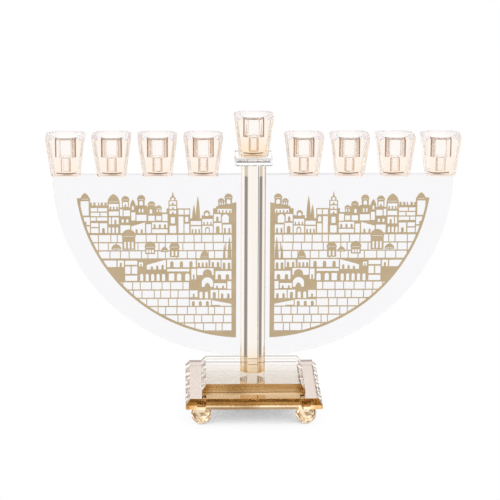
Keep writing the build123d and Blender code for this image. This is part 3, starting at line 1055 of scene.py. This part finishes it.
def studio_panorama(tree, direction):
    """Brightness of the studio as cut glass sees it, for a direction that points outwards.

    White behind and beside the object, a softbox overhead, and a dim room behind the camera.
    The backdrop is always set up opposite the camera.
    """
    split = node(tree, "ShaderNodeSeparateXYZ")
    link(tree, direction, split.inputs[0])
    level = node(tree, "ShaderNodeCombineXYZ")
    link(tree, split.outputs["X"], level.inputs["X"])
    link(tree, split.outputs["Y"], level.inputs["Y"])
    turned = node(tree, "ShaderNodeVectorTransform", vector_type="VECTOR",
                  convert_from="WORLD", convert_to="CAMERA")
    link(tree, level.outputs[0], turned.inputs[0])
    seen_by_camera = node(tree, "ShaderNodeSeparateXYZ")
    link(tree, turned.outputs[0], seen_by_camera.inputs[0])
    turn = node(tree, "ShaderNodeMath", operation="ARCTAN2")
    link(tree, seen_by_camera.outputs["X"], turn.inputs[0])
    link(tree, seen_by_camera.outputs["Z"], turn.inputs[1])
    away = node(tree, "ShaderNodeMath", operation="ABSOLUTE")
    link(tree, turn.outputs[0], away.inputs[0])
    part = node(tree, "ShaderNodeMath", operation="DIVIDE")
    link(tree, away.outputs[0], part.inputs[0])
    part.inputs[1].default_value = pi
    around = node(tree, "ShaderNodeValToRGB")
    stops = ((0.0, WHITE), (0.22, WHITE), (0.32, (0.93, 0.90, 0.88)), (0.46, (1.0, 0.98, 0.96)),
             (0.60, (0.90, 0.89, 0.88)), (0.74, (0.55, 0.54, 0.54)), (1.0, (0.45, 0.45, 0.45)))
    grey_ramp(around.color_ramp, stops)
    link(tree, part.outputs[0], around.inputs["Fac"])
    rise = split.outputs["Z"]
    top = mix_colour(tree, map_range(tree, rise, 0.40, 0.60, 0.0, 1.0), around.outputs[0],
                     (1.0, 0.99, 1.03))
    return times(tree, top, grey_value(tree, STUDIO_GAIN))


def floor_material():
    """Pale floor that glows like a light table, with a painted soft shadow close under the object;
    light through cut glass sees the studio panorama painted on it.
    """
    material, tree = new_material("studio_floor")
    where = node(tree, "ShaderNodeNewGeometry")
    path = node(tree, "ShaderNodeLightPath")
    openness = node(tree, "ShaderNodeAmbientOcclusion", samples=6, Distance=FLOOR_SHADOW_REACH)
    shadow = node(tree, "ShaderNodeValToRGB")
    stops = ((0.0, 0.28), (0.075, 0.45), (0.11, 0.80), (0.18, 0.93), (0.43, 0.97), (0.6, 1.0))
    grey_ramp(shadow.color_ramp, [(place, (value, value, value)) for place, value in stops])
    link(tree, openness.outputs["AO"], shadow.inputs["Fac"])
    open_part = shadow.outputs[0]
    outward = node(tree, "ShaderNodeVectorMath", operation="SCALE", Scale=-1.0)
    link(tree, where.outputs["Incoming"], outward.inputs[0])
    seen = studio_panorama(tree, outward.outputs[0])
    split = node(tree, "ShaderNodeSeparateXYZ")
    link(tree, outward.outputs[0], split.inputs[0])
    near = map_range(tree, split.outputs["Z"], -0.75, -0.45, 1.0, 0.0)
    seen = mix_colour(tree, near, seen, WHITE)
    plain = mix_colour(tree, path.outputs["Is Singular Ray"], WHITE, seen)
    glow = node(tree, "ShaderNodeEmission", Strength=1.0)
    link(tree, times(tree, plain, open_part), glow.inputs["Color"])
    output = node(tree, "ShaderNodeOutputMaterial")
    link(tree, glow.outputs[0], output.inputs["Surface"])
    return material


def studio_floor():
    """Large pale floor under the object."""
    mesh = bmesh.new()
    bmesh.ops.create_grid(mesh, x_segments=8, y_segments=8, size=30.0)
    data = bpy.data.meshes.new("studio_floor")
    mesh.to_mesh(data)
    mesh.free()
    data.materials.append(floor_material())
    floor = bpy.data.objects.new("studio_floor", data)
    bpy.context.scene.collection.objects.link(floor)


def studio_world():
    """Soft white tent; cut glass sees the panorama in it."""
    world = bpy.data.worlds.new("studio")
    bpy.context.scene.world = world
    world.use_nodes = True
    tree = world.node_tree
    tree.nodes.clear()
    where = node(tree, "ShaderNodeTexCoord")
    path = node(tree, "ShaderNodeLightPath")
    seen = studio_panorama(tree, where.outputs["Generated"])
    glow = node(tree, "ShaderNodeBackground", Strength=1.0)
    plain = mix_colour(tree, path.outputs["Is Singular Ray"], WHITE, seen)
    link(tree, plain, glow.inputs["Color"])
    output = node(tree, "ShaderNodeOutputWorld")
    link(tree, glow.outputs[0], output.inputs["Surface"])


studio_floor()
studio_world()

# ------------------------------------------------------------------ camera
CAMERA_PLACE = Vector((-0.069, -2.309, 0.779))
CAMERA_TURN = radians(-1.64)
CAMERA_TILT = radians(15.0)
CAMERA_ROLL = radians(0.26)
SENSOR = 36.0
LENS = 176.83


def studio_camera():
    """Camera slightly left of the object, looking a little down at it."""
    across = Vector((cos(CAMERA_TURN), sin(CAMERA_TURN), 0))
    ahead = Vector((-sin(CAMERA_TURN), cos(CAMERA_TURN), 0))
    forward = ahead * cos(CAMERA_TILT) - UP * sin(CAMERA_TILT)
    upward = ahead * sin(CAMERA_TILT) + UP * cos(CAMERA_TILT)
    right = across * cos(CAMERA_ROLL) + upward * sin(CAMERA_ROLL)
    top = upward * cos(CAMERA_ROLL) - across * sin(CAMERA_ROLL)
    data = bpy.data.cameras.new("camera")
    data.lens = LENS
    data.sensor_width = SENSOR
    data.clip_end = 200.0
    camera = bpy.data.objects.new("camera", data)
    bpy.context.scene.collection.objects.link(camera)
    axes = Matrix((right, top, -forward)).transposed()
    camera.matrix_world = Matrix.Translation(CAMERA_PLACE) @ axes.to_4x4()
    bpy.context.scene.camera = camera


studio_camera()

scene = bpy.context.scene
scene.view_settings.view_transform = "Standard"
scene.cycles.max_bounces = 32
scene.cycles.transmission_bounces = 32
scene.cycles.glossy_bounces = 16
scene.cycles.transparent_max_bounces = 64
scene.cycles.blur_glossy = 0.0
